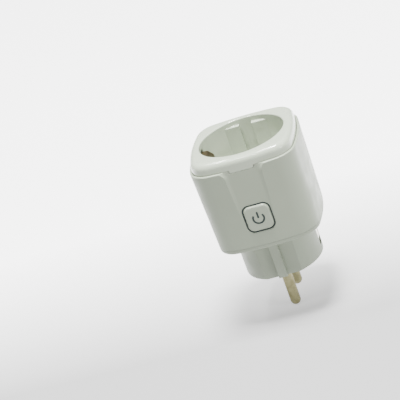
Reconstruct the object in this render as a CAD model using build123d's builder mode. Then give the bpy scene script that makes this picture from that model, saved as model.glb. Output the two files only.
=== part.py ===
"""A plug-in smart socket adaptor for European round-pin outlets, in millimetres.

The plug's axis is Z. The origin is the centre of the plug's end face, between the two pins: the pins
point down, the socket's recess opens upwards, and the push button looks along -Y.
"""

import os
from math import atan2, cos, sin, sqrt

from build123d import *

# Round-pin plug and recessed socket: the sizes of the standard interface
PIN_RADIUS = 2.4
PIN_LENGTH = 19.0
PIN_OFFSET = 9.5  # each pin's distance from the plug's axis, along Y
PIN_SHOULDER = 2.7  # radius of the moulded-in part of a pin
SHOULDER_Z = 0.1
MOULD_FIT = 0.02  # clearance around the moulded-in pins
PLUG_RADIUS = 18.3
PLUG_FLAT = 16.1  # distance from the axis to the flats on the pins' sides
PLUG_RIB = 17.9  # distance from the axis to the face of the rib on each flat
RIB_WIDTH = 4.0
RECESS_RADIUS = 19.6
RECESS_DEPTH = 17.5
KEY_FLAT = 17.0  # distance from the axis to the guide keys in the recess
KEY_GAP = 5.8  # slot between the two keys of a side, for the plug's rib
HOLE_RADIUS = 2.75

# Housing: a square with bulging sides and round corners, a little wider at the top
BODY_HALF = 24.5  # half width at the bottom of the shell
LIP_HALF = 25.35  # half width at the shell's lip
SIDE_RADIUS = 95.0
CORNER_RADIUS = 10.0
WALL = 2.0
BASE_BOTTOM = 19.2
PARTING_Z = 21.4  # joint between the base and the shell
LIP_TOP = 59.4
SKIRT_Z = 58.2  # lower edge of the socket cover's skirt
COVER_TOP = 64.5
COVER_HALF = 24.15
GAP = 0.15  # parting gap between mouldings
BASE_GAP = 0.06  # gap between the base and the shell
LIP_FILLET = 0.45
LIP_GAP = 0.15  # gap between the shell's lip and the cover's skirt

# Levels inside
RECESS_FLOOR = COVER_TOP - RECESS_DEPTH
TUBE_BOTTOM = RECESS_FLOOR - 2.0
DECK_BOTTOM = TUBE_BOTTOM - 1.5
RETAINER_BOTTOM = DECK_BOTTOM - 3.0
BOARD_BOTTOM = 22.4
BOARD_TOP = BOARD_BOTTOM + 1.6
STACK_HALF = 22.2  # half width of the plates that fill the shell
BOSS_SPOT = 16.6  # the socket screws stand at this X and Y

# Push button
BUTTON_Z = 34.75
BUTTON_FACE = 25.15  # distance of its face from the axis
BUTTON_HALF = 5.8
BUTTON_STRETCH = 0.5  # the button is this much taller than it is wide
APERTURE_HALF = 6.5
APERTURE_CORNER = 3.3
APERTURE_CHAMFER = 0.8
CHAMFER_BACK = 24.3  # distance of the chamfer's inner edge from the axis
BUTTON_TRAVEL_ROOM = 0.35


def rounded_square(half, mode=Mode.ADD):
    """Draws the housing's outline at another half width, parallel to the shell's own."""
    side = SIDE_RADIUS + half - BODY_HALF
    corner = CORNER_RADIUS + half - BODY_HALF
    reach = side - half
    centre = (sqrt(2 * (side - corner) ** 2 - reach**2) - reach) / 2
    tangent = atan2(centre, centre + reach)
    end_x = side * cos(tangent) - reach
    end_y = side * sin(tangent)
    corner_middle = centre + corner / sqrt(2)
    points = [(end_x, -end_y), (half, 0), (end_x, end_y), (corner_middle, corner_middle), (end_y, end_x)]
    with BuildLine() as outline:
        for turn in (0, 90, 180, 270):
            start, side_middle, end, middle, following = [
                Vector(*point).rotate(Axis.Z, turn) for point in points
            ]
            ThreePointArc(start, side_middle, end)
            ThreePointArc(end, middle, following)
    make_face(outline.edges(), mode=mode)


def block(low, high, mode=Mode.ADD):
    """Adds or cuts a box between its lowest and highest corners."""
    low = Vector(*low)
    high = Vector(*high)
    with Locations((low + high) / 2):
        Box(*(high - low), mode=mode)


def plug_section(radius, flat, mode=Mode.ADD):
    """Draws a round section with a flat on each pin's side."""
    with BuildLine() as outline:
        half_flat = sqrt(radius**2 - flat**2)
        ThreePointArc((half_flat, flat), (radius, 0), (half_flat, -flat))
        Line((half_flat, -flat), (-half_flat, -flat))
        ThreePointArc((-half_flat, -flat), (-radius, 0), (-half_flat, flat))
        Line((-half_flat, flat), (half_flat, flat))
    make_face(outline.edges(), mode=mode)


def button_square(half, corner):
    """Draws a rounded square about the button's centre, on a plane that faces -Y."""
    with Locations((0, BUTTON_Z)):
        RectangleRounded(2 * half, 2 * half + BUTTON_STRETCH, corner)


# ---------------------------------------------------------------- mouldings of the housing

PLUG_FACE_THICKNESS = 3.0
CAVITY_INSET = 2.5
EARTH_GROOVE_X = 16.5
EARTH_GROOVE_WIDTH = 5.4
EARTH_GROOVE_BOTTOM = 3.4
EARTH_GROOVE_TOP = 15.8
EARTH_SLOT_DEPTH = 0.9
PIN_BOSS_RADIUS = 4.2
BOSS_HEIGHT = 2.0
STIFFENER = 2.0  # thickness of the ribs inside the plug
SCREW_POST_BOTTOM = 10.0
SCREW_POST_RADIUS = 2.5
SCREW_HOLE_RADIUS = 1.05
RIM_HEIGHT = 3.0  # rim that locates the shell
FLANGE_FILLET = 1.3
BOARD_SCREW_SPOTS = [(6.6, -12.6), (-6.6, 12.6)]

with BuildPart() as plug_base:
    with BuildSketch(Plane.XY):
        plug_section(PLUG_RADIUS, PLUG_FLAT)
        with Locations((0, PLUG_RIB - 2), (0, 2 - PLUG_RIB)):
            Rectangle(RIB_WIDTH, 4)
    extrude(amount=BASE_BOTTOM)
    end_edges = plug_base.faces().sort_by(Axis.Z)[0].edges()
    fillet(end_edges.filter_by(GeomType.CIRCLE), radius=0.7)
    with BuildSketch(Plane.XY.offset(BASE_BOTTOM)):
        rounded_square(BODY_HALF - 0.04)
    extrude(amount=PARTING_Z - BASE_BOTTOM - BASE_GAP)
    flange_bottom = plug_base.faces().filter_by(Axis.Z).filter_by_position(Axis.Z, BASE_BOTTOM, BASE_BOTTOM)
    fillet(flange_bottom.face().outer_wire().edges(), radius=FLANGE_FILLET)
    # Locating rim inside the shell
    with BuildSketch(Plane.XY.offset(PARTING_Z - BASE_GAP)):
        rounded_square(STACK_HALF + 0.1)
        rounded_square(STACK_HALF - 1.1, mode=Mode.SUBTRACT)
    extrude(amount=RIM_HEIGHT)
    # Hollow plug
    with BuildSketch(Plane.XY.offset(PLUG_FACE_THICKNESS)):
        plug_section(PLUG_RADIUS - CAVITY_INSET, PLUG_FLAT - CAVITY_INSET)
    extrude(amount=PARTING_Z, mode=Mode.SUBTRACT)
    # Bosses around the pins, and for the board's screws
    with BuildSketch(Plane.XY.offset(PLUG_FACE_THICKNESS)):
        with Locations((0, PIN_OFFSET), (0, -PIN_OFFSET)):
            Circle(PIN_BOSS_RADIUS)
        Rectangle(STIFFENER, 2 * PIN_OFFSET)
        Rectangle(2 * PLUG_RADIUS - 2 * CAVITY_INSET + 0.5, STIFFENER)
    extrude(amount=BOSS_HEIGHT)
    with BuildSketch(Plane.XY.offset(SCREW_POST_BOTTOM)):
        with Locations(*BOARD_SCREW_SPOTS):
            Circle(SCREW_POST_RADIUS)
    extrude(amount=BOARD_BOTTOM - SCREW_POST_BOTTOM)
    with Locations(*[(x, y, BOARD_BOTTOM) for x, y in BOARD_SCREW_SPOTS]):
        Hole(radius=SCREW_HOLE_RADIUS, depth=8)
    for bottom, radius in ((0, PIN_RADIUS), (SHOULDER_Z, PIN_SHOULDER)):
        with BuildSketch(Plane.XY.offset(bottom)):
            with Locations((0, PIN_OFFSET), (0, -PIN_OFFSET)):
                Circle(radius + MOULD_FIT)
        extrude(amount=PARTING_Z, mode=Mode.SUBTRACT)
    for side in (-1, 1):
        # Groove and slot for the earth strip
        half_width = EARTH_GROOVE_WIDTH / 2
        outer = side * (PLUG_RADIUS + 1)
        block(
            (min(side * EARTH_GROOVE_X, outer), -half_width, EARTH_GROOVE_BOTTOM),
            (max(side * EARTH_GROOVE_X, outer), half_width, EARTH_GROOVE_TOP),
            mode=Mode.SUBTRACT,
        )
        slot_out = side * (EARTH_GROOVE_X + EARTH_SLOT_DEPTH)
        block(
            (min(side * EARTH_GROOVE_X, slot_out), -half_width, EARTH_GROOVE_TOP - 1),
            (max(side * EARTH_GROOVE_X, slot_out), half_width, PARTING_Z + 1),
            mode=Mode.SUBTRACT,
        )
        # Gap in the rim for the strip's riser
        rim_in = side * (STACK_HALF - 1.3)
        rim_out = side * (STACK_HALF + 1)
        block(
            (min(rim_in, rim_out), -half_width, PARTING_Z - BASE_GAP),
            (max(rim_in, rim_out), half_width, PARTING_Z + 4),
            mode=Mode.SUBTRACT,
        )

# Strip above the button: a channel with concave sides, whose flat floor comes out of the shell's
# face beside the button and is flush with the socket cover's skirt at the top
CHANNEL_HALF = 9.6
CHANNEL_FILLET = 3.5
CHANNEL_FOOT_Z = 30.0
CHANNEL_FOOT_Y = -24.43
FLARE_RADIUS = 2.0
FLARE_Z = 55.85
FLARE_ANGLE = 60.0

channel_foot = Vector(0, CHANNEL_FOOT_Y, CHANNEL_FOOT_Z)
channel_head = Vector(0, -COVER_HALF, SKIRT_Z)
channel_normal = Vector(1, 0, 0).cross((channel_head - channel_foot).normalized())
channel_plane = Plane(origin=channel_foot, x_dir=(1, 0, 0), z_dir=channel_normal)

with BuildPart() as channel_cutter:
    with BuildSketch(channel_plane):
        with BuildLine():
            Line((CHANNEL_HALF, 0), (CHANNEL_HALF, FLARE_Z - CHANNEL_FOOT_Z))
            flare = CenterArc(
                (CHANNEL_HALF + FLARE_RADIUS, FLARE_Z - CHANNEL_FOOT_Z),
                FLARE_RADIUS,
                180,
                -FLARE_ANGLE,
            )
            side_end = (flare @ 1) + 8 * (flare % 1)
            Line(flare @ 1, side_end)
            mirror(about=Plane.YZ)
            Line((-CHANNEL_HALF, 0), (CHANNEL_HALF, 0))
            Line((-side_end.X, side_end.Y), side_end)
        make_face()
    extrude(amount=6)
    floor_edges = channel_cutter.faces().sort_by(Axis.Y)[-1].edges()
    fillet(floor_edges - floor_edges.filter_by(Axis.X), radius=CHANNEL_FILLET)

with BuildPart() as body_shell:
    with BuildSketch(Plane.XY.offset(PARTING_Z)):
        rounded_square(BODY_HALF)
    with BuildSketch(Plane.XY.offset(LIP_TOP)):
        rounded_square(LIP_HALF)
    loft(ruled=True)
    with BuildSketch(Plane.XY.offset(PARTING_Z)):
        rounded_square(BODY_HALF - WALL)
    with BuildSketch(Plane.XY.offset(LIP_TOP)):
        rounded_square(LIP_HALF - WALL - 0.2)
    loft(ruled=True, mode=Mode.SUBTRACT)
    # Rebate that the socket cover's skirt stands in
    with BuildSketch(Plane.XY.offset(SKIRT_Z - GAP)):
        rounded_square(COVER_HALF + LIP_GAP)
    extrude(amount=LIP_TOP, mode=Mode.SUBTRACT)
    fillet(body_shell.faces().sort_by(Axis.Z)[-1].outer_wire().edges(), radius=LIP_FILLET)
    add(channel_cutter.part, mode=Mode.SUBTRACT)
    # Button aperture
    with BuildSketch(Plane.XZ.offset(BODY_HALF - WALL - 2)):
        button_square(APERTURE_HALF, APERTURE_CORNER)
    extrude(amount=8, mode=Mode.SUBTRACT)
    for widening in (0.0, APERTURE_CHAMFER):
        with BuildSketch(Plane.XZ.offset(CHAMFER_BACK + widening)):
            button_square(APERTURE_HALF + widening, APERTURE_CORNER + widening)
    loft(mode=Mode.SUBTRACT)

RIM_THICKNESS = 2.2
COVER_FILLET = 2.8
MOUTH_FILLET = 0.6
KEY_FILLET = 0.5
KEY_SPAN = 10.2  # distance from the middle to a key's outer side
BOSS_RADIUS = 2.8
BOSS_HOLE_RADIUS = 1.1
TUBE_WALL = 1.5
TONGUE_BOTTOM = 54.0
KEY_TOP = COVER_TOP - 2.5
WINDOW_HALF = 3.4  # half width of the windows that the earth clips look through
WINDOW_BOTTOM = 48.6
WINDOW_TOP = 61.9
BOSS_SPOTS = [(x, y) for x in (-BOSS_SPOT, BOSS_SPOT) for y in (-BOSS_SPOT, BOSS_SPOT)]

with BuildPart() as socket_cover:
    with BuildSketch(Plane.XY.offset(SKIRT_Z)):
        rounded_square(COVER_HALF)
    extrude(amount=COVER_TOP - SKIRT_Z)
    fillet(socket_cover.faces().sort_by(Axis.Z)[-1].edges(), radius=COVER_FILLET)
    with BuildSketch(Plane.XY.offset(TONGUE_BOTTOM)):
        rounded_square(STACK_HALF + 0.6)
    extrude(amount=SKIRT_Z - TONGUE_BOTTOM)
    with BuildSketch(Plane.XY.offset(TONGUE_BOTTOM)):
        rounded_square(STACK_HALF - 0.7)
    extrude(amount=COVER_TOP - RIM_THICKNESS - TONGUE_BOTTOM, mode=Mode.SUBTRACT)
    with BuildSketch(Plane.XY.offset(TUBE_BOTTOM)):
        Circle(RECESS_RADIUS + TUBE_WALL)
        with Locations(*BOSS_SPOTS):
            Circle(BOSS_RADIUS)
    extrude(amount=COVER_TOP - RIM_THICKNESS + 0.5 - TUBE_BOTTOM)
    with BuildSketch(Plane.XY.offset(TUBE_BOTTOM)):
        Circle(RECESS_RADIUS)
    extrude(amount=COVER_TOP, mode=Mode.SUBTRACT)
    mouth = socket_cover.edges().filter_by(GeomType.CIRCLE).group_by(Axis.Z)[-1]
    fillet(mouth, radius=MOUTH_FILLET)
    # Guide keys
    with BuildSketch(Plane.XY.offset(RECESS_FLOOR)):
        key_width = KEY_SPAN - KEY_GAP / 2
        key_spot = KEY_GAP / 2 + key_width / 2
        with Locations(*[(x * key_spot, y * (KEY_FLAT + 1.5)) for x in (-1, 1) for y in (-1, 1)]):
            Rectangle(key_width, 3.0)
        Circle(RECESS_RADIUS + 0.2, mode=Mode.INTERSECT)
    extrude(amount=KEY_TOP - RECESS_FLOOR)
    key_tops = socket_cover.faces().filter_by(Axis.Z).filter_by_position(Axis.Z, KEY_TOP, KEY_TOP)
    fillet(key_tops.edges().filter_by(Axis.X), radius=KEY_FILLET)
    # Windows that the earth clips reach through
    for x in (-20.6, 20.6):
        block(
            (x - 2.3, -WINDOW_HALF, WINDOW_BOTTOM),
            (x + 2.3, WINDOW_HALF, WINDOW_TOP),
            mode=Mode.SUBTRACT,
        )
    with BuildSketch(Plane.XY.offset(TUBE_BOTTOM)):
        with Locations(*BOSS_SPOTS):
            Circle(BOSS_HOLE_RADIUS)
    extrude(amount=11, mode=Mode.SUBTRACT)

# ---------------------------------------------------------------- socket deck and shutter

POCKET_RADIUS = 15.5
RISER_NOTCH_X = 21.1
SHUTTER_BOTTOM = DECK_BOTTOM - 0.8
SHUTTER_TOP = TUBE_BOTTOM - 0.2
POST_RADIUS = 1.7


def notch_edges(bottom, top):
    """Cuts the gaps for the earth strips at left and right, and for the light ring in front."""
    block((-8.6, -24, bottom), (8.6, 0.9 - STACK_HALF, top), mode=Mode.SUBTRACT)
    for side in (-1, 1):
        low = min(side * RISER_NOTCH_X, side * 24)
        high = max(side * RISER_NOTCH_X, side * 24)
        block((low, -3.6, bottom), (high, 3.6, top), mode=Mode.SUBTRACT)


with BuildPart() as socket_floor:
    with BuildSketch(Plane.XY.offset(DECK_BOTTOM)):
        rounded_square(STACK_HALF)
    extrude(amount=TUBE_BOTTOM - DECK_BOTTOM)
    with BuildSketch(Plane.XY.offset(TUBE_BOTTOM)):
        Circle(RECESS_RADIUS - 0.1)
    extrude(amount=RECESS_FLOOR - TUBE_BOTTOM)
    with BuildSketch(Plane.XY.offset(DECK_BOTTOM)):
        Circle(POCKET_RADIUS)
    extrude(amount=TUBE_BOTTOM - DECK_BOTTOM, mode=Mode.SUBTRACT)
    with Locations((0, PIN_OFFSET, RECESS_FLOOR), (0, -PIN_OFFSET, RECESS_FLOOR)):
        CounterSinkHole(HOLE_RADIUS, HOLE_RADIUS + 0.4, depth=5, counter_sink_angle=90)
    with BuildSketch(Plane.XY.offset(DECK_BOTTOM)):
        with Locations(*BOSS_SPOTS):
            Circle(1.3)
    extrude(amount=TUBE_BOTTOM - DECK_BOTTOM, mode=Mode.SUBTRACT)
    notch_edges(DECK_BOTTOM, TUBE_BOTTOM)

with BuildPart() as shutter_retainer:
    with BuildSketch(Plane.XY.offset(RETAINER_BOTTOM)):
        rounded_square(STACK_HALF)
    extrude(amount=DECK_BOTTOM - RETAINER_BOTTOM)
    with BuildSketch(Plane.XY.offset(DECK_BOTTOM - 1)):
        Circle(POCKET_RADIUS)
    extrude(amount=1, mode=Mode.SUBTRACT)
    with BuildSketch(Plane.XY.offset(RETAINER_BOTTOM)):
        Circle(POST_RADIUS)
    extrude(amount=TUBE_BOTTOM - 0.1 - RETAINER_BOTTOM)
    with BuildSketch(Plane.XY.offset(RETAINER_BOTTOM)):
        with Locations((0, PIN_OFFSET), (0, -PIN_OFFSET)):
            Circle(HOLE_RADIUS + 0.15)
        with Locations(*BOSS_SPOTS):
            Circle(1.3)
    extrude(amount=3, mode=Mode.SUBTRACT)
    notch_edges(RETAINER_BOTTOM, DECK_BOTTOM)

SHUTTER_LOBE = 3.4
SPRING_POCKET_RADIUS = 3.1
SPRING_POCKET_BOTTOM = SHUTTER_BOTTOM + 0.5

with BuildPart() as safety_shutter:
    with BuildSketch(Plane.XY.offset(SHUTTER_BOTTOM)):
        Circle(4.4)
        Rectangle(5.2, 2 * PIN_OFFSET)
        with Locations((0, PIN_OFFSET), (0, -PIN_OFFSET)):
            Circle(SHUTTER_LOBE)
    extrude(amount=SHUTTER_TOP - SHUTTER_BOTTOM)
    # Each lobe has a ramp, so that two pins pushed in together turn the shutter
    for side in (-1, 1):
        with BuildSketch(Plane.XZ.offset(-side * 6.0)):
            with BuildLine():
                Polyline(
                    (-side * 1.2, SHUTTER_TOP + 0.1),
                    (side * 3.6, SHUTTER_TOP + 0.1),
                    (side * 3.6, SHUTTER_BOTTOM + 0.5),
                    close=True,
                )
            make_face()
        extrude(amount=-side * 8.0, mode=Mode.SUBTRACT)
    with BuildSketch(Plane.XY.offset(SHUTTER_BOTTOM)):
        Circle(POST_RADIUS + 0.08)
    extrude(amount=3, mode=Mode.SUBTRACT)
    with BuildSketch(Plane.XY.offset(SPRING_POCKET_BOTTOM)):
        Circle(SPRING_POCKET_RADIUS)
    extrude(amount=3, mode=Mode.SUBTRACT)

with BuildPart() as shutter_spring:
    with BuildLine(Plane.XY.offset(SPRING_POCKET_BOTTOM + 0.3)) as coil:
        Helix(pitch=0.4, height=1.0, radius=2.45)
    with BuildSketch(Plane(origin=coil.line @ 0, z_dir=coil.line % 0)):
        Circle(0.15)
    sweep()

# ---------------------------------------------------------------- metal that carries current

STRIP_THICKNESS = 0.6
STRIP_WIDTH = 5.2
STRIP_BOW = PLUG_RADIUS - 0.6
STRIP_SLOT_X = EARTH_GROOVE_X + 0.4
RISER_X = 21.7
CLIP_FOOT = 47.0
CLIP_WIDTH = 5.4
CLIP_BOW = 15.2  # distance from the axis to the crown of the clip's bow


def plug_pin(y):
    """A round-ended solid pin with a collar and a thin stem for the board."""
    with BuildPart() as pin:
        with BuildSketch(Plane(origin=(0, y, 0), x_dir=(1, 0, 0), z_dir=(0, -1, 0))):
            with BuildLine():
                ThreePointArc(
                    (0, -PIN_LENGTH),
                    (PIN_RADIUS * sqrt(0.5), -PIN_LENGTH + PIN_RADIUS * (1 - sqrt(0.5))),
                    (PIN_RADIUS, -PIN_LENGTH + PIN_RADIUS),
                )
                Polyline(
                    (PIN_RADIUS, -PIN_LENGTH + PIN_RADIUS),
                    (PIN_RADIUS, SHOULDER_Z),
                    (PIN_SHOULDER, SHOULDER_Z),
                    (PIN_SHOULDER, PLUG_FACE_THICKNESS + 2),
                    (PIN_RADIUS + 1, PLUG_FACE_THICKNESS + 2),
                    (PIN_RADIUS + 1, PLUG_FACE_THICKNESS + 4),
                    (1.5, PLUG_FACE_THICKNESS + 4),
                    (1.5, BOARD_TOP + 1),
                    (0, BOARD_TOP + 1),
                    (0, -PIN_LENGTH),
                )
            make_face()
        revolve(axis=Axis((0, y, 0), (0, 0, 1)))
    return pin


CONTACT_BOTTOM = 28.6
CONTACT_TOP = RETAINER_BOTTOM - 0.2


def pin_contact(y):
    """A slotted sleeve that grips an inserted pin, with a leg down to the board."""
    with BuildPart() as contact:
        with BuildSketch(Plane.XY.offset(CONTACT_BOTTOM)):
            with Locations((0, y)):
                Circle(PIN_RADIUS + 0.75)
                Circle(PIN_RADIUS + 0.05, mode=Mode.SUBTRACT)
        extrude(amount=CONTACT_TOP - CONTACT_BOTTOM)
        with BuildSketch(Plane.XY.offset(CONTACT_BOTTOM + 3)):
            with Locations((0, y)):
                Rectangle(0.9, 3 * PIN_RADIUS)
                Rectangle(3 * PIN_RADIUS, 0.9)
        extrude(amount=CONTACT_TOP, mode=Mode.SUBTRACT)
        block((-PIN_RADIUS - 0.75, y - 1.2, BOARD_BOTTOM), (-PIN_RADIUS - 0.15, y + 1.2, CONTACT_BOTTOM + 2))
    return contact


def earth_strip(side):
    """A bent strip from the side of the plug, over the base and up to the foot of the clip."""
    with BuildPart() as strip:
        with BuildSketch(Plane.XZ.offset(-STRIP_WIDTH / 2)):
            with BuildLine():
                FilletPolyline(
                    (side * STRIP_SLOT_X, EARTH_GROOVE_BOTTOM + 0.3),
                    (side * STRIP_BOW, 6.4),
                    (side * STRIP_BOW, EARTH_GROOVE_TOP - 0.5),
                    (side * STRIP_SLOT_X, EARTH_GROOVE_TOP - 0.5),
                    (side * STRIP_SLOT_X, BOARD_BOTTOM - 0.5),
                    (side * RISER_X, BOARD_BOTTOM - 0.5),
                    (side * RISER_X, CLIP_FOOT - 0.1),
                    radius=0.36,
                )
            trace(line_width=STRIP_THICKNESS)
        extrude(amount=STRIP_WIDTH)
    return strip


def earth_clip(side):
    """A sprung strip that stands beside the recess and bows into it."""
    with BuildPart() as clip:
        with BuildSketch(Plane.XZ.offset(-CLIP_WIDTH / 2)):
            with BuildLine():
                FilletPolyline(
                    (side * RISER_X, CLIP_FOOT),
                    (side * RISER_X, CLIP_FOOT + 2.4),
                    (side * CLIP_BOW, 54.2),
                    (side * CLIP_BOW, 57.9),
                    (side * (CLIP_BOW + 2.1), 60.2),
                    (side * (CLIP_BOW + 4.6), 60.4),
                    radius=1.2,
                )
            trace(line_width=0.5)
        extrude(amount=CLIP_WIDTH)
    return clip


BRIDGE_X = RISER_X - 0.65
BRIDGE_Y = 21.0
BRIDGE_Z = 28.0
BRIDGE_HEIGHT = 4.0

with BuildPart() as earth_bridge:
    with BuildSketch(Plane.XY.offset(BRIDGE_Z)):
        with BuildLine():
            FilletPolyline(
                (-BRIDGE_X, -1),
                (-BRIDGE_X, BRIDGE_Y),
                (BRIDGE_X, BRIDGE_Y),
                (BRIDGE_X, -1),
                radius=8.0,
            )
        trace(line_width=0.5)
    extrude(amount=BRIDGE_HEIGHT)

# ---------------------------------------------------------------- boards and their parts

BOARD_HALF = 20.4
BUTTON_BOARD_FRONT = -18.8
BUTTON_BOARD_THICKNESS = 1.0
BUTTON_BOARD_HALF = 8.2
WIFI_BOARD_X = 19.0

with BuildPart() as main_board:
    with BuildSketch(Plane.XY.offset(BOARD_BOTTOM)):
        rounded_square(BOARD_HALF)
        with Locations(*BOARD_SCREW_SPOTS):
            Circle(1.3, mode=Mode.SUBTRACT)
        for y in (-PIN_OFFSET, PIN_OFFSET):
            with Locations((0, y)):
                Circle(1.55, mode=Mode.SUBTRACT)
            with Locations((-PIN_RADIUS - 0.45, y)):
                Rectangle(0.7, 2.5, mode=Mode.SUBTRACT)
    extrude(amount=BOARD_TOP - BOARD_BOTTOM)

with BuildPart() as wifi_board:
    block((WIFI_BOARD_X, -9, BOARD_TOP), (WIFI_BOARD_X + 1.0, 9, 39.5))

with BuildPart() as wifi_shield:
    block((WIFI_BOARD_X - 1.9, -7, BOARD_TOP + 1), (WIFI_BOARD_X, 7, 34.5))
    fillet(wifi_shield.edges().filter_by(Axis.X), radius=0.8)

with BuildPart() as button_board:
    block(
        (-BUTTON_BOARD_HALF, BUTTON_BOARD_FRONT, BOARD_TOP),
        (BUTTON_BOARD_HALF, BUTTON_BOARD_FRONT + BUTTON_BOARD_THICKNESS, 40.0),
    )

SWITCH_FRONT = -20.5
STEM_FRONT = -21.0

with BuildPart() as switch_body:
    block((-2.6, SWITCH_FRONT, BUTTON_Z - 2.6), (2.6, BUTTON_BOARD_FRONT, BUTTON_Z + 2.6))
    chamfer(switch_body.edges().filter_by(Axis.Y), length=0.5)
    with BuildSketch(Plane.XZ.offset(-SWITCH_FRONT)):
        with Locations((0, BUTTON_Z)):
            Circle(1.35)
    extrude(amount=-1.2, mode=Mode.SUBTRACT)

with BuildPart() as switch_stem:
    with BuildSketch(Plane.XZ.offset(-STEM_FRONT)):
        with Locations((0, BUTTON_Z)):
            Circle(1.25)
    extrude(amount=STEM_FRONT - SWITCH_FRONT - BUTTON_TRAVEL_ROOM)

with BuildPart() as status_leds:
    for x in (-5.6, 5.6):
        block(
            (x - 0.8, BUTTON_BOARD_FRONT - 0.7, BUTTON_Z - 1),
            (x + 0.8, BUTTON_BOARD_FRONT, BUTTON_Z + 1),
        )

INPUT_CAPACITOR = (11.8, -7.0)
OUTPUT_CAPACITOR = (11.8, 3.0)
INDUCTOR = (11.2, 12.4)


def capacitor(spot, radius, height):
    """An electrolytic can with the groove near its foot."""
    x, y = spot
    with BuildPart() as can:
        with BuildSketch(Plane(origin=(x, y, 0), x_dir=(1, 0, 0), z_dir=(0, -1, 0))):
            with BuildLine():
                FilletPolyline(
                    (0, BOARD_TOP),
                    (radius, BOARD_TOP),
                    (radius, BOARD_TOP + 1.4),
                    (radius - 0.4, BOARD_TOP + 1.9),
                    (radius, BOARD_TOP + 2.4),
                    (radius, BOARD_TOP + height),
                    (0, BOARD_TOP + height),
                    radius=0.25,
                )
                Line((0, BOARD_TOP + height), (0, BOARD_TOP))
            make_face()
        revolve(axis=Axis((x, y, 0), (0, 0, 1)))
    return can


with BuildPart() as filter_inductor:
    for bottom, top, radius in ((0, 1, 4.0), (1, 7.5, 3.3), (7.5, 8.5, 4.0)):
        with BuildSketch(Plane.XY.offset(BOARD_TOP + bottom)):
            with Locations(INDUCTOR):
                Circle(radius)
        extrude(amount=top - bottom)

with BuildPart() as varistor:
    with BuildSketch(Plane.XZ.offset(-18.8)):
        with Locations((3.0, BOARD_TOP + 5.4)):
            Circle(4.6)
    extrude(amount=3.8)
    fillet(varistor.edges().filter_by(GeomType.CIRCLE), radius=1.0)
    for x in (0.8, 5.2):
        block((x - 0.3, 16.6, BOARD_BOTTOM + 1.6), (x + 0.3, 17.2, BOARD_TOP + 2.5))

with BuildPart() as fusible_resistor:
    with BuildSketch(Plane.YZ.offset(-19.0)):
        with Locations((-14.6, BOARD_TOP + 2.3)):
            Circle(2.1)
    extrude(amount=9.5)
    fillet(fusible_resistor.edges().filter_by(GeomType.CIRCLE), radius=0.6)

with BuildPart() as power_chip:
    block((2.5, -3.0, BOARD_TOP), (6.0, 2.0, BOARD_TOP + 1.5))
    chamfer(power_chip.edges().group_by(Axis.Z)[-1], length=0.3)

with BuildPart() as metering_chip:
    block((-7.5, -2.5, BOARD_TOP), (-3.8, 2.5, BOARD_TOP + 1.5))
    chamfer(metering_chip.edges().group_by(Axis.Z)[-1], length=0.3)

# ---------------------------------------------------------------- relay

RELAY_X = -15.2
RELAY_HALF_X = 5.1
RELAY_HALF_Y = 10.0
RELAY_WALL = 0.8
RELAY_BOTTOM = BOARD_TOP + 0.3
RELAY_TOP = 39.4
COIL_Y = -4.4
ARMATURE_Z = 36.3

with BuildPart() as relay_case:
    block(
        (RELAY_X - RELAY_HALF_X, -RELAY_HALF_Y, RELAY_BOTTOM),
        (RELAY_X + RELAY_HALF_X, RELAY_HALF_Y, RELAY_TOP),
    )
    fillet(relay_case.edges().filter_by(Axis.Z), radius=0.6)
    inner_x = RELAY_HALF_X - RELAY_WALL
    inner_y = RELAY_HALF_Y - RELAY_WALL
    block(
        (RELAY_X - inner_x, -inner_y, RELAY_BOTTOM),
        (RELAY_X + inner_x, inner_y, RELAY_TOP - RELAY_WALL),
        mode=Mode.SUBTRACT,
    )

with BuildPart() as relay_base:
    block(
        (RELAY_X - inner_x, -inner_y, RELAY_BOTTOM),
        (RELAY_X + inner_x, inner_y, RELAY_BOTTOM + 1.6),
    )
    for x, y in ((-3, -8), (3, -8), (0, 3), (0, 8)):
        with BuildSketch(Plane.XY.offset(BOARD_TOP)):
            with Locations((RELAY_X + x, y)):
                Circle(0.5)
        extrude(amount=0.4)

with BuildPart() as relay_coil:
    for bottom, top, radius in ((26.0, 27.0, 4.1), (27.0, 34.0, 3.5), (34.0, 35.0, 4.1), (35.0, 35.4, 2.2)):
        with BuildSketch(Plane.XY.offset(bottom)):
            with Locations((RELAY_X, COIL_Y)):
                Circle(radius)
        extrude(amount=top - bottom)

with BuildPart() as relay_yoke:
    block((RELAY_X - 3.5, 0.0, 26.0), (RELAY_X + 3.5, 1.2, ARMATURE_Z - 0.2))

with BuildPart() as relay_armature:
    block((RELAY_X - 3.3, -8.0, ARMATURE_Z), (RELAY_X + 3.3, 2.4, ARMATURE_Z + 0.9))
    block((RELAY_X - 2.0, 2.1, 28.5), (RELAY_X + 2.0, 2.4, ARMATURE_Z + 0.5))
    with BuildSketch(Plane.XZ.offset(-2.4)):
        with Locations((RELAY_X, 30.0)):
            Circle(1.4)
    extrude(amount=-0.5)

with BuildPart() as relay_contact:
    block((RELAY_X - 2.0, 4.1, 26.0), (RELAY_X + 2.0, 4.6, 33.0))
    with BuildSketch(Plane.XZ.offset(-4.1)):
        with Locations((RELAY_X, 30.0)):
            Circle(1.4)
    extrude(amount=0.5)

# ---------------------------------------------------------------- button and light ring

RING_FRONT = 24.35  # distance of the ring's visible face from the axis
RING_FLANGE_FRONT = 22.1
RING_FLANGE_BACK = 21.6
BUTTON_BACK = 22.05
RING_WALL = 0.48


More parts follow.
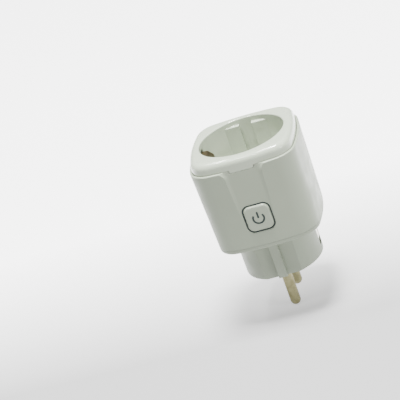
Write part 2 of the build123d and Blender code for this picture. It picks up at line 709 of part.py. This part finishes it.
with BuildPart() as light_ring:
    with BuildSketch(Plane.XZ.offset(RING_FLANGE_BACK)):
        button_square(APERTURE_HALF - 0.02, APERTURE_CORNER - 0.02)
    extrude(amount=RING_FRONT - RING_FLANGE_BACK)
    with BuildSketch(Plane.XZ.offset(RING_FLANGE_BACK)):
        button_square(APERTURE_HALF + 1.5, APERTURE_CORNER + 1.5)
    extrude(amount=RING_FLANGE_FRONT - RING_FLANGE_BACK)
    for x in (-5.6, 5.6):
        block(
            (x - 0.9, -RING_FLANGE_BACK, BUTTON_Z - 1.1),
            (x + 0.9, BUTTON_BOARD_FRONT - 0.8, BUTTON_Z + 1.1),
        )
    with BuildSketch(Plane.XZ.offset(RING_FLANGE_BACK)):
        button_square(APERTURE_HALF - RING_WALL, APERTURE_CORNER - RING_WALL)
    extrude(amount=8, mode=Mode.SUBTRACT)

ICON_RADIUS = 2.45
ICON_STROKE = 0.85
ICON_DEPTH = 0.25
ICON_GAP_ANGLE = 52.0  # half angle of the opening at the ring's top


def draw_power_icon():
    """Draws the standby symbol: an open ring and an upright bar, both round ended."""
    with BuildLine() as ring:
        CenterArc((0, BUTTON_Z), ICON_RADIUS, 90 + ICON_GAP_ANGLE, 360 - 2 * ICON_GAP_ANGLE)
    trace(ring.line, line_width=ICON_STROKE)
    with Locations((0, BUTTON_Z + 1.6)):
        SlotOverall(3.2, ICON_STROKE, rotation=90)


with BuildPart() as power_icon:
    with BuildSketch(Plane.XZ.offset(BUTTON_FACE - ICON_DEPTH)):
        draw_power_icon()
    extrude(amount=ICON_DEPTH)

with BuildPart() as power_button:
    with BuildSketch(Plane.XZ.offset(BUTTON_BACK)):
        button_square(BUTTON_HALF, APERTURE_CORNER - 0.55)
    extrude(amount=BUTTON_FACE - BUTTON_BACK)
    fillet(power_button.faces().sort_by(Axis.Y)[0].edges(), radius=1.0)
    with BuildSketch(Plane.XZ.offset(-STEM_FRONT + 0.05)):
        button_square(4.4, 1.5)
    extrude(amount=1.0)
    with BuildSketch(Plane.XZ.offset(BUTTON_FACE - ICON_DEPTH)):
        draw_power_icon()
    extrude(amount=1.0, mode=Mode.SUBTRACT)

# ---------------------------------------------------------------- fasteners

with BuildPart() as socket_screws:
    for bottom, top, radius in ((-1.5, 0.0, 2.1), (0.0, 12.5, 1.1)):
        with BuildSketch(Plane.XY.offset(RETAINER_BOTTOM + bottom)):
            with Locations(*BOSS_SPOTS):
                Circle(radius)
        extrude(amount=top - bottom)

with BuildPart() as board_screws:
    for bottom, top, radius in ((0.0, 1.4, 2.0), (-7.5, 0.0, 1.05)):
        with BuildSketch(Plane.XY.offset(BOARD_TOP + bottom)):
            with Locations(*BOARD_SCREW_SPOTS):
                Circle(radius)
        extrude(amount=top - bottom)

# ---------------------------------------------------------------- files

pieces = {
    "plug_base": plug_base,
    "body_shell": body_shell,
    "socket_cover": socket_cover,
    "socket_floor": socket_floor,
    "shutter_retainer": shutter_retainer,
    "safety_shutter": safety_shutter,
    "shutter_spring": shutter_spring,
    "line_pin": plug_pin(-PIN_OFFSET),
    "neutral_pin": plug_pin(PIN_OFFSET),
    "line_contact": pin_contact(-PIN_OFFSET),
    "neutral_contact": pin_contact(PIN_OFFSET),
    "earth_strip_left": earth_strip(-1),
    "earth_strip_right": earth_strip(1),
    "earth_clip_left": earth_clip(-1),
    "earth_clip_right": earth_clip(1),
    "earth_bridge": earth_bridge,
    "main_board": main_board,
    "wifi_board": wifi_board,
    "wifi_shield": wifi_shield,
    "button_board": button_board,
    "switch_body": switch_body,
    "switch_stem": switch_stem,
    "status_leds": status_leds,
    "input_capacitor": capacitor(INPUT_CAPACITOR, 5.0, 13.0),
    "output_capacitor": capacitor(OUTPUT_CAPACITOR, 4.0, 11.0),
    "filter_inductor": filter_inductor,
    "varistor": varistor,
    "fusible_resistor": fusible_resistor,
    "power_chip": power_chip,
    "metering_chip": metering_chip,
    "relay_case": relay_case,
    "relay_base": relay_base,
    "relay_coil": relay_coil,
    "relay_yoke": relay_yoke,
    "relay_armature": relay_armature,
    "relay_contact": relay_contact,
    "light_ring": light_ring,
    "power_button": power_button,
    "power_icon": power_icon,
    "socket_screws": socket_screws,
    "board_screws": board_screws,
}

os.makedirs("parts", exist_ok=True)
for node, piece in pieces.items():
    piece.part.label = node
    export_step(piece.part, f"parts/{node}.step")
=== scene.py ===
"""Studio scene of a plug-in smart socket adaptor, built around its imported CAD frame. Sizes are in metres."""

from math import cos, radians, sin

import bpy
from mathutils import Matrix, Vector


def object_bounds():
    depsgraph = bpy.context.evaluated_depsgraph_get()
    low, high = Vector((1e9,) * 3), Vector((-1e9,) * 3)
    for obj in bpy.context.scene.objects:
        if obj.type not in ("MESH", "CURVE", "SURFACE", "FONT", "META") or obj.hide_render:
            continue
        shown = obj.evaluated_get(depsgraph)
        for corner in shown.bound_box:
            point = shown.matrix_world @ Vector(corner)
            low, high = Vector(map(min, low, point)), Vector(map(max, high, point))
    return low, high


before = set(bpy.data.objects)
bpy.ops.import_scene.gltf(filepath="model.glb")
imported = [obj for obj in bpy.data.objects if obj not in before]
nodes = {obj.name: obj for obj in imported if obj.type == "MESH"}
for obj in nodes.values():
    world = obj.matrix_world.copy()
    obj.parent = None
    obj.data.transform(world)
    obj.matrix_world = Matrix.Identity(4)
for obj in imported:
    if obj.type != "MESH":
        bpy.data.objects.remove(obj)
cad_low, cad_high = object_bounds()

MM = 0.001
EDGE_RADIUS = 0.25 * MM  # how far the plastics' sharp edges look rounded off
# Painted shade: plastics darken with a dusty tint in gaps and inner corners within this reach.
CREVICE_SHADE_REACH = 0.5 * MM
DUST_AND_SHADE_TINT = (0.80, 0.78, 0.72)
BLACK_INK = (0.012, 0.022, 0.022)
ROLLING_STRETCH = (1, 1, 0.06)  # drawn metal's lines run along Z

# ---------------------------------------------------------------- materials


class Finish:
    """A procedural material under construction: a Principled shader and the textures that feed it."""

    def __init__(self, name, colour, roughness, metallic=0.0, coat=0.0):
        self.material = bpy.data.materials.new(name)
        self.material.use_nodes = True
        self.tree = self.material.node_tree
        self.shader = self.tree.nodes["Principled BSDF"]
        self.colour = colour
        self.roughness = roughness
        self.shader.inputs["Base Color"].default_value = (*colour, 1)
        self.shader.inputs["Roughness"].default_value = roughness
        self.shader.inputs["Metallic"].default_value = metallic
        self.shader.inputs["Coat Weight"].default_value = coat
        self.place = self.node("ShaderNodeTexCoord").outputs["Object"]
        self.paint = None
        self.bumps = None

    def node(self, kind, **settings):
        made = self.tree.nodes.new(kind)
        for key, value in settings.items():
            setattr(made, key, value)
        return made

    def link(self, source, target):
        self.tree.links.new(source, target)

    def noise(self, scale, detail=3.0, stretch=(1, 1, 1)):
        """Returns a noise texture's value, with its features stretched along an axis where wanted."""
        mapping = self.node("ShaderNodeMapping")
        mapping.inputs["Scale"].default_value = stretch
        self.link(self.place, mapping.inputs["Vector"])
        texture = self.node("ShaderNodeTexNoise")
        texture.inputs["Scale"].default_value = scale
        texture.inputs["Detail"].default_value = detail
        self.link(mapping.outputs["Vector"], texture.inputs["Vector"])
        return texture.outputs["Fac"]

    def remap(self, value, low, high, to_low=0.0, to_high=1.0):
        """Maps a value from one range to another, and keeps it inside the new range."""
        mapper = self.node("ShaderNodeMapRange")
        self.link(value, mapper.inputs["Value"])
        mapper.inputs["From Min"].default_value = low
        mapper.inputs["From Max"].default_value = high
        mapper.inputs["To Min"].default_value = to_low
        mapper.inputs["To Max"].default_value = to_high
        return mapper.outputs["Result"]

    def tint(self, mask, colour):
        """Paints another colour over what is there, where the mask is high."""
        mix = self.node("ShaderNodeMix", data_type="RGBA")
        self.link(mask, mix.inputs["Factor"])
        if self.paint is None:
            mix.inputs["A"].default_value = (*self.colour, 1)
        else:
            self.link(self.paint, mix.inputs["A"])
        mix.inputs["B"].default_value = (*colour, 1)
        self.paint = mix.outputs["Result"]
        self.link(self.paint, self.shader.inputs["Base Color"])

    def vary_roughness(self, value, amount):
        """Lets roughness go up and down with a texture's value."""
        result = self.remap(value, 0.3, 0.7, self.roughness - amount, self.roughness + amount)
        self.link(result, self.shader.inputs["Roughness"])

    def bump(self, height, depth, strength=1.0):
        """Raises the surface by up to a depth where the height is 1. Bumps add up."""
        bump = self.node("ShaderNodeBump")
        bump.inputs["Distance"].default_value = depth
        bump.inputs["Strength"].default_value = strength
        self.link(height, bump.inputs["Height"])
        if self.bumps is not None:
            self.link(self.bumps, bump.inputs["Normal"])
        self.bumps = bump.outputs["Normal"]
        self.link(self.bumps, self.shader.inputs["Normal"])

    def round_edges(self, radius):
        """Lets sharp edges catch light as if they were rounded off."""
        bevel = self.node("ShaderNodeBevel", samples=4)
        bevel.inputs["Radius"].default_value = radius
        self.bumps = bevel.outputs["Normal"]
        self.link(self.bumps, self.shader.inputs["Normal"])

    def coordinate(self, axis):
        """Returns one coordinate of the surface's place at rest."""
        split = self.node("ShaderNodeSeparateXYZ")
        self.link(self.place, split.inputs["Vector"])
        return split.outputs[axis]

    def crevice_shade_mask(self, distance):
        """Returns a mask for painted shade with a dusty tint: high in gaps and inner corners, where ambient
        occlusion finds shade.
        """
        occlusion = self.node("ShaderNodeAmbientOcclusion", samples=6)
        occlusion.inputs["Distance"].default_value = distance
        return self.remap(occlusion.outputs["AO"], 0.75, 0.25)


def moulded_plastic(name, colour, roughness, grain, coat=0.0):
    """Injection-moulded plastic: even colour, a fine spark-eroded grain, and painted shade with a dusty tint
    darkening the gaps and inner corners.
    """
    finish = Finish(name, colour, roughness, coat=coat)
    finish.round_edges(EDGE_RADIUS)
    shade = tuple(0.93 * part for part in colour)
    finish.tint(finish.remap(finish.noise(45.0, 2.0), 0.35, 0.75, 0.0, 0.5), shade)
    # Painted shade with a dusty tint, darkening gaps and inner corners where ambient occlusion finds shade.
    dust_and_shade = tuple(part * scale for part, scale in zip(colour, DUST_AND_SHADE_TINT))
    finish.tint(finish.crevice_shade_mask(CREVICE_SHADE_REACH), dust_and_shade)
    finish.vary_roughness(finish.noise(160.0, 5.0), 0.25 * roughness)
    finish.bump(finish.noise(2600.0, 2.0), grain)
    finish.bump(finish.noise(28.0, 1.0), 0.05 * MM, 0.25)
    return finish


def drawn_metal(name, colour, roughness, stain):
    """Drawn or rolled metal: fine lines one way, duller patches and small pits."""
    finish = Finish(name, colour, roughness, metallic=1.0)
    finish.tint(finish.remap(finish.noise(420.0, 5.0), 0.45, 0.7, 0.0, 0.75), stain)
    lines = finish.noise(5200.0, 3.0, ROLLING_STRETCH)
    finish.vary_roughness(lines, 0.35 * roughness)
    finish.bump(lines, 0.006 * MM)
    finish.bump(finish.noise(1500.0, 2.0), 0.004 * MM)
    return finish


def circuit_board(name, colour):
    """Green solder mask with copper tracks under it and bare pads."""
    finish = Finish(name, colour, 0.32, coat=0.3)
    tracks = finish.node("ShaderNodeTexBrick")
    tracks.inputs["Scale"].default_value = 260.0
    tracks.inputs["Mortar Size"].default_value = 0.03
    finish.link(finish.place, tracks.inputs["Vector"])
    finish.tint(tracks.outputs["Fac"], tuple(1.7 * part for part in colour))
    finish.tint(finish.remap(finish.noise(300.0, 2.0), 0.66, 0.7), (0.55, 0.47, 0.25))
    finish.bump(tracks.outputs["Fac"], 0.02 * MM)
    finish.vary_roughness(finish.noise(900.0, 3.0), 0.08)
    return finish


def winding(name, colour):
    """Enamelled copper wire wound round a bobbin in level turns."""
    finish = Finish(name, colour, 0.3, metallic=0.8, coat=0.4)
    turns = finish.node("ShaderNodeTexWave", bands_direction="Z")
    turns.inputs["Scale"].default_value = 900.0
    turns.inputs["Distortion"].default_value = 0.6
    finish.link(finish.place, turns.inputs["Vector"])
    finish.tint(finish.remap(turns.outputs["Fac"], 0.0, 0.4, 0.7, 0.0), (0.12, 0.05, 0.02))
    finish.bump(turns.outputs["Fac"], 0.05 * MM)
    return finish


def sleeved_can(name, colour):
    """A capacitor's shrink sleeve with its lighter stripe, and the bare end of the can."""
    finish = Finish(name, colour, 0.35, coat=0.2)
    shade = tuple(0.6 * part for part in colour)
    finish.tint(finish.remap(finish.noise(600.0, 4.0), 0.4, 0.7, 0.0, 0.4), shade)
    stripe = finish.remap(finish.coordinate("X"), 15.0 * MM, 15.3 * MM)
    finish.tint(stripe, (0.45, 0.46, 0.48))
    finish.bump(finish.noise(1800.0, 2.0), 0.006 * MM)
    return finish


def coated_component(name, colour):
    """A dipped or moulded component body with a slightly uneven coat."""
    finish = Finish(name, colour, 0.38, coat=0.25)
    shade = tuple(0.65 * part for part in colour)
    finish.tint(finish.remap(finish.noise(500.0, 4.0), 0.4, 0.7, 0.0, 0.6), shade)
    finish.bump(finish.noise(700.0, 3.0), 0.03 * MM)
    finish.vary_roughness(finish.noise(1200.0, 3.0), 0.1)
    return finish


# Painted shade: the shell and the base are the same white plastic as the cover, but their colours are darkened
# to stand for the shade on their faces, the base's most, for the shade under the shell.
satin_shaded = moulded_plastic("shell_plastic_shaded", (0.30, 0.34, 0.26), 0.42, 0.006 * MM)
gloss = moulded_plastic("cover_plastic", (0.42, 0.47, 0.37), 0.16, 0.001 * MM, coat=0.35)
base_plastic_shaded = moulded_plastic("base_plastic_shaded", (0.28, 0.317, 0.243), 0.44, 0.006 * MM)
button_plastic = moulded_plastic("button_plastic", (0.32, 0.362, 0.28), 0.36, 0.004 * MM)
inner_plastic = moulded_plastic("inner_plastic", (0.36, 0.40, 0.31), 0.45, 0.006 * MM)
shutter_plastic = moulded_plastic("shutter_plastic", (0.60, 0.61, 0.56), 0.4, 0.004 * MM)
icon = moulded_plastic("icon_ink", BLACK_INK, 0.6, 0.003 * MM)
guide = moulded_plastic("light_guide", (0.020, 0.032, 0.032), 0.45, 0.002 * MM)
housing_black = moulded_plastic("relay_housing", (0.03, 0.03, 0.035), 0.35, 0.004 * MM)
epoxy = moulded_plastic("chip_epoxy", (0.02, 0.02, 0.02), 0.5, 0.006 * MM)
pin_metal = drawn_metal("pin_nickel", (0.30, 0.28, 0.155), 0.42, (0.195, 0.177, 0.09))
# Painted shade: the earth clips' bronze colour is darkened far below a metal's to stand for the shade they sit
# in inside the socket recess.
earth_metal_shaded = drawn_metal("earth_bronze_shaded", (0.16, 0.125, 0.07), 0.40, (0.09, 0.07, 0.04))
strip_metal = drawn_metal("earth_nickel", (0.66, 0.65, 0.56), 0.30, (0.50, 0.48, 0.38))
contact_metal = drawn_metal("contact_brass", (0.72, 0.50, 0.22), 0.3, (0.45, 0.28, 0.12))
steel = drawn_metal("bright_steel", (0.56, 0.56, 0.55), 0.3, (0.36, 0.35, 0.33))
board = circuit_board("solder_mask", (0.012, 0.10, 0.045))
copper = winding("enamelled_wire", (0.50, 0.20, 0.08))
can = sleeved_can("can_sleeve", (0.05, 0.06, 0.08))
blue_coat = coated_component("blue_coat", (0.03, 0.09, 0.28))
lamp = coated_component("lamp_epoxy", (0.75, 0.74, 0.62))

FINISHES = {
    "body_shell": satin_shaded,
    "socket_cover": gloss,
    "plug_base": base_plastic_shaded,
    "power_button": button_plastic,
    "power_icon": icon,
    "light_ring": guide,
    "socket_floor": inner_plastic,
    "shutter_retainer": inner_plastic,
    "safety_shutter": shutter_plastic,
    "shutter_spring": steel,
    "line_pin": pin_metal,
    "neutral_pin": pin_metal,
    "line_contact": contact_metal,
    "neutral_contact": contact_metal,
    "earth_strip_left": strip_metal,
    "earth_strip_right": strip_metal,
    "earth_clip_left": earth_metal_shaded,
    "earth_clip_right": earth_metal_shaded,
    "earth_bridge": contact_metal,
    "main_board": board,
    "wifi_board": board,
    "button_board": board,
    "wifi_shield": steel,
    "switch_body": epoxy,
    "switch_stem": epoxy,
    "status_leds": lamp,
    "input_capacitor": can,
    "output_capacitor": can,
    "filter_inductor": copper,
    "varistor": blue_coat,
    "fusible_resistor": blue_coat,
    "power_chip": epoxy,
    "metering_chip": epoxy,
    "relay_case": housing_black,
    "relay_base": housing_black,
    "relay_coil": copper,
    "relay_yoke": steel,
    "relay_armature": steel,
    "relay_contact": contact_metal,
    "socket_screws": steel,
    "board_screws": steel,
}

for name, node in nodes.items():
    node.data.materials.clear()
    node.data.materials.append(FINISHES[name].material)

# ---------------------------------------------------------------- camera, floor and lights

CAMERA_AZIMUTH = radians(13.84)  # towards +X from the front
CAMERA_ELEVATION = radians(23.25)
CAMERA_ROLL = radians(-20.86)  # the object leans to the left in the picture
CAMERA_DISTANCE = 0.70985
CAMERA_LENS = 141.6  # focal length in mm
CAMERA_SENSOR = 36.0  # sensor width in mm
VIEW_CENTRE = Vector((-0.0277, -0.0004, 0.0395))

FLOOR_SIZE = 8.0
PAPER = (0.36, 0.36, 0.36)
PAPER_SHADE = (0.35, 0.35, 0.35)
GLOW_FROM_Y = -0.03  # painted light: the floor glows behind the object, standing in for a lit paper sweep
GLOW_TO_Y = 0.12
GLOW_IN_FRONT = 0.2
GLOW_BEHIND = 4.5

WORLD_STRENGTH = 0.2
OBJECT_MIDDLE = (cad_low + cad_high) / 2

# name, place, width, depth, power in watts; all of them point at the object's middle
SOFTBOXES = (
    ("top_softbox", (0.12, -0.04, 1.15), 0.30, 0.30, 56.0),
    ("overhead_strip", (-0.28, 0.03, 1.00), 0.40, 0.05, 6.0),
    ("front_strip", (-0.16, -0.42, 0.95), 0.25, 0.06, 4.0),
    ("right_softbox", (0.84, -0.17, 0.60), 0.10, 0.10, 1.0),
    ("front_softbox", (0.70, -0.42, 0.22), 0.15, 0.15, 2.4),
)


def add_camera():
    """Places the camera on the front right, a little above the object, and tilts it about its own axis."""
    back = Vector((
        sin(CAMERA_AZIMUTH) * cos(CAMERA_ELEVATION),
        -cos(CAMERA_AZIMUTH) * cos(CAMERA_ELEVATION),
        sin(CAMERA_ELEVATION),
    ))
    camera_data = bpy.data.cameras.new("camera")
    camera_data.lens = CAMERA_LENS
    camera_data.sensor_width = CAMERA_SENSOR
    camera_data.clip_start = 0.05
    camera = bpy.data.objects.new("camera", camera_data)
    upright = back.to_track_quat("Z", "Y").to_matrix().to_4x4()
    place = Matrix.Translation(VIEW_CENTRE + CAMERA_DISTANCE * back)
    camera.matrix_world = place @ upright @ Matrix.Rotation(CAMERA_ROLL, 4, "Z")
    bpy.context.scene.collection.objects.link(camera)
    bpy.context.scene.camera = camera


def add_floor():
    """Lays a wide pale floor under the pins' ends, which glows as painted light, faintly in front of the
    object and strongly behind it.
    """
    bpy.ops.mesh.primitive_plane_add(size=FLOOR_SIZE, location=(0, 0, cad_low.z))
    floor = bpy.context.object
    floor.name = "floor"
    paper = Finish("floor_paper", PAPER, 0.8)
    paper.tint(paper.remap(paper.noise(12.0, 2.0), 0.3, 0.7, 0.0, 0.2), PAPER_SHADE)
    paper.shader.inputs["Emission Color"].default_value = (1, 1, 1, 1)
    # Painted light: the floor's emission rises from front to back, a glow standing in for a lit paper sweep.
    glow = paper.remap(paper.coordinate("Y"), GLOW_FROM_Y, GLOW_TO_Y, GLOW_IN_FRONT, GLOW_BEHIND)
    paper.link(glow, paper.shader.inputs["Emission Strength"])
    floor.data.materials.append(paper.material)


def add_softbox(name, place, width, depth, power):
    """Hangs a rectangular area light and points it at the object's middle."""
    data = bpy.data.lights.new(name, "AREA")
    data.shape = "RECTANGLE"
    data.size = width
    data.size_y = depth
    data.energy = power
    light = bpy.data.objects.new(name, data)
    light.location = place
    light.rotation_euler = (OBJECT_MIDDLE - Vector(place)).to_track_quat("-Z", "Y").to_euler()
    bpy.context.scene.collection.objects.link(light)


def add_world(strength):
    """Fills the studio with even white light."""
    world = bpy.data.worlds.new("studio")
    world.use_nodes = True
    world.node_tree.nodes["Background"].inputs["Color"].default_value = (1.0, 1.0, 1.0, 1)
    world.node_tree.nodes["Background"].inputs["Strength"].default_value = strength
    bpy.context.scene.world = world


add_camera()
add_floor()
add_world(WORLD_STRENGTH)
for softbox in SOFTBOXES:
    add_softbox(*softbox)
